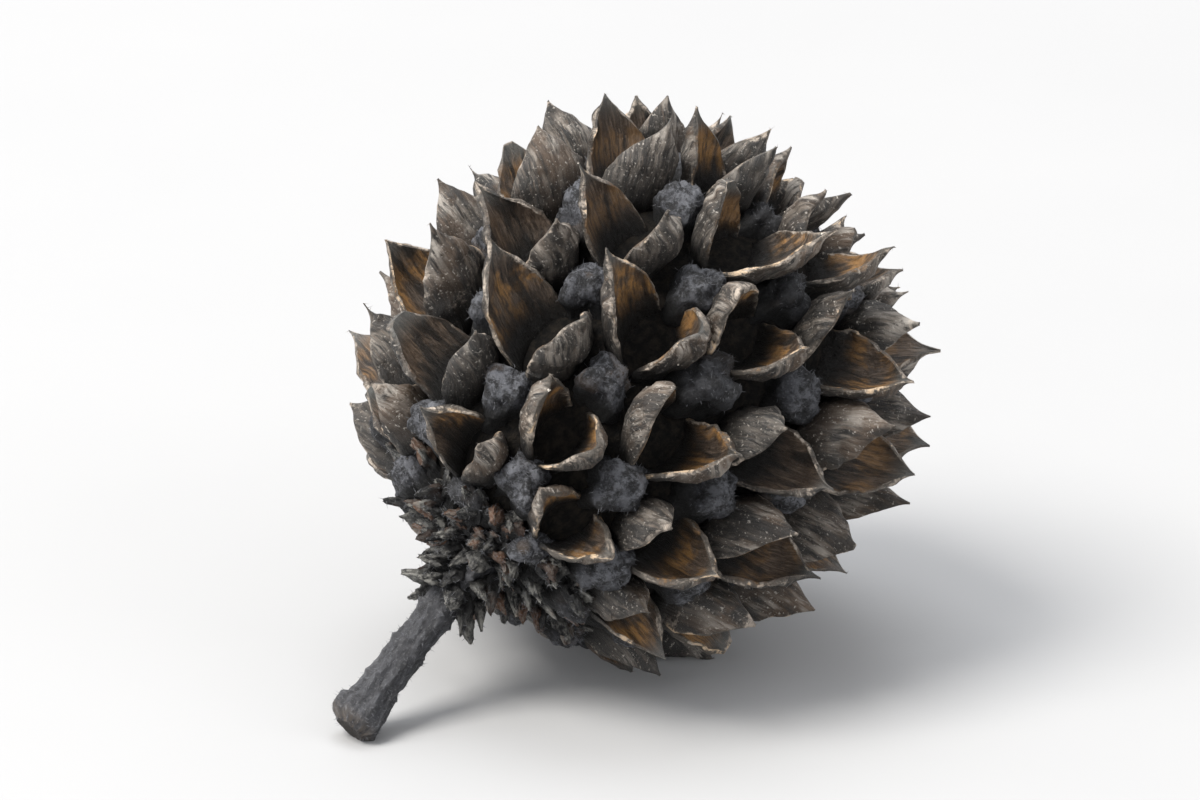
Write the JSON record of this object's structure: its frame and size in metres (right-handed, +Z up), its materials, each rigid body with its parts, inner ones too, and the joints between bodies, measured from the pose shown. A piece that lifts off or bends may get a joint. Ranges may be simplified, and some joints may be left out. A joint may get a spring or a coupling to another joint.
{
  "type": "casuarina cone",
  "caption": "Dry woody casuarina cone with open paired valves and a short stalk, lying on its side.",
  "frame": {"origin": "on the surface the cone lies on, below the middle of its bounding box", "axes": "+X from the stalk's end towards the cone's apex, seen from above; +Z up, away from the surface"},
  "size_m": [0.0314, 0.0258, 0.0262],
  "materials": {
    "dark_wood": "matte"
  },
  "bodies": {
    "root": {"cone": "dark_wood"}
  },
  "joints": []
}
